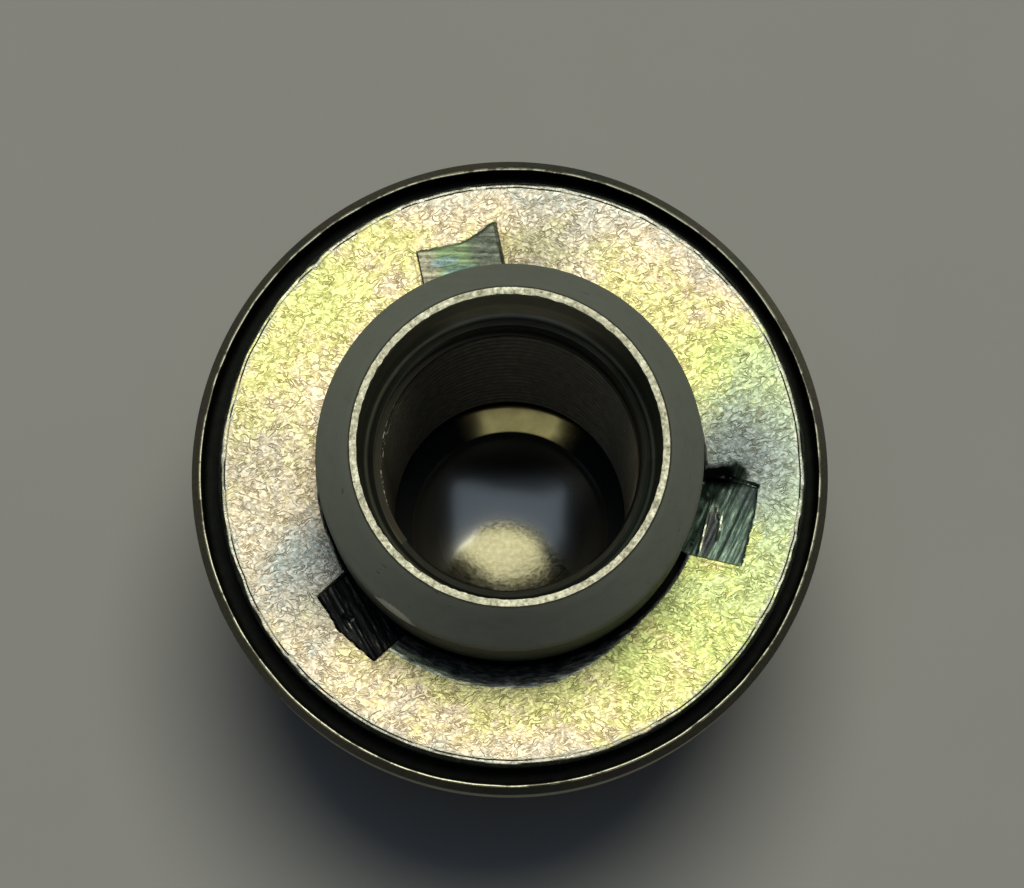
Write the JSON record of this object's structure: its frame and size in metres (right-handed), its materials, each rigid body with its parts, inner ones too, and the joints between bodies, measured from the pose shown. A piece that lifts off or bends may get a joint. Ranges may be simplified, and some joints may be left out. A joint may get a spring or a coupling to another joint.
{
  "type": "lug nut",
  "caption": "Closed-end wheel nut with a hex drive, a rimmed round flange, a loose captive flat washer and a tapered shank over the threaded bore.",
  "frame": {"origin": "centre of the closed end, on the surface the nut stands on", "axes": "+Z along the thread axis, out of the thread's mouth; +X and +Y across the nut, with two of the hex's corners on the X axis"},
  "size_m": [0.0314, 0.0314, 0.047],
  "materials": {
    "nut_steel": "dark zinc-plated steel, matte on the shank, with faint rainbow tints on the flange and bright worn edges",
    "washer_zinc": "yellow-passivated zinc over rough steel, with gold, green, pink and blue-grey tints",
    "cap_steel": "smooth pressed steel sheet with a pale golden passivated zinc finish"
  },
  "bodies": {
    "nut": {"nut_body": "nut_steel", "end_cap": "cap_steel"},
    "washer": {"washer": "washer_zinc"}
  },
  "joints": [
    {"name": "washer_spin", "type": "hinge", "parent": "nut", "child": "washer", "pos_m": [0.00012, 0.00006, 0.0323], "axis": [0, 0, 1], "continuous": true}
  ]
}
